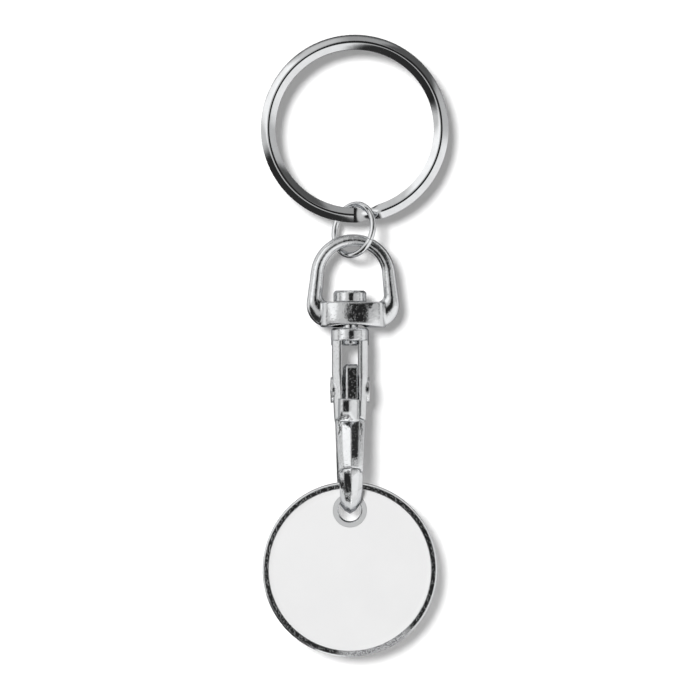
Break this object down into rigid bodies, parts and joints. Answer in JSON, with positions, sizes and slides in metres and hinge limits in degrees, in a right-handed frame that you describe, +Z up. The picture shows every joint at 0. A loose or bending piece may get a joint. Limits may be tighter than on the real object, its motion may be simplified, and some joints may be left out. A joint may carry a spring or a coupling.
{
  "type": "trolley token keyring",
  "caption": "Chromed key ring with a swivel trigger clasp that holds a shopping-trolley token, a coin-sized disc with a white filled face.",
  "frame": {"origin": "hang point: the highest point inside the split ring, midway between its two faces", "axes": "+Z up along the hanging chain, +X to the right, -Y towards the side that the trigger faces"},
  "size_m": [0.025, 0.0118, 0.0828],
  "materials": {
    "wire_chrome": "polished",
    "cast_chrome": "polished",
    "pin_chrome": "polished",
    "spring_steel": "bright",
    "token_chrome": "polished",
    "white_fill": "gloss"
  },
  "bodies": {
    "split_ring": {"split_ring": "wire_chrome"},
    "jump_ring": {"jump_ring": "wire_chrome"},
    "swivel_bow": {"swivel_bow": "cast_chrome"},
    "clasp": {"swivel_rivet": "pin_chrome", "hook_body": "cast_chrome", "pivot_pin": "pin_chrome", "trigger_spring": "spring_steel"},
    "trigger": {"trigger_lever": "cast_chrome"},
    "token": {"token_blank": "token_chrome", "front_inlay": "white_fill", "back_inlay": "white_fill"}
  },
  "joints": [
    {"name": "link_swing", "type": "hinge", "parent": "split_ring", "child": "jump_ring", "pos_m": [0.00034, 0.0001, -0.02217], "axis": [1, 0, 0], "range_deg": [-80, 80]},
    {"name": "bow_swing", "type": "hinge", "parent": "jump_ring", "child": "swivel_bow", "pos_m": [-0.00023, -0.0003, -0.02563], "axis": [1, 0, 0], "range_deg": [-80, 80]},
    {"name": "swivel", "type": "hinge", "parent": "swivel_bow", "child": "clasp", "pos_m": [-0.00065, 0, -0.0353], "axis": [0, 0, 1], "continuous": true},
    {"name": "trigger", "type": "hinge", "parent": "clasp", "child": "trigger", "pos_m": [-0.00064, -0.0003, -0.04536], "axis": [0.999, 0.0436, 0], "range_deg": [0, 25], "stiffness_Nm_per_rad": 0.004, "springref_deg": -20.05, "deforming": ["trigger_spring"]},
    {"name": "token_swing", "type": "hinge", "parent": "clasp", "child": "token", "pos_m": [-0.00065, 0, -0.06134], "axis": [0, 1, 0], "range_deg": [-30, 30]}
  ]
}
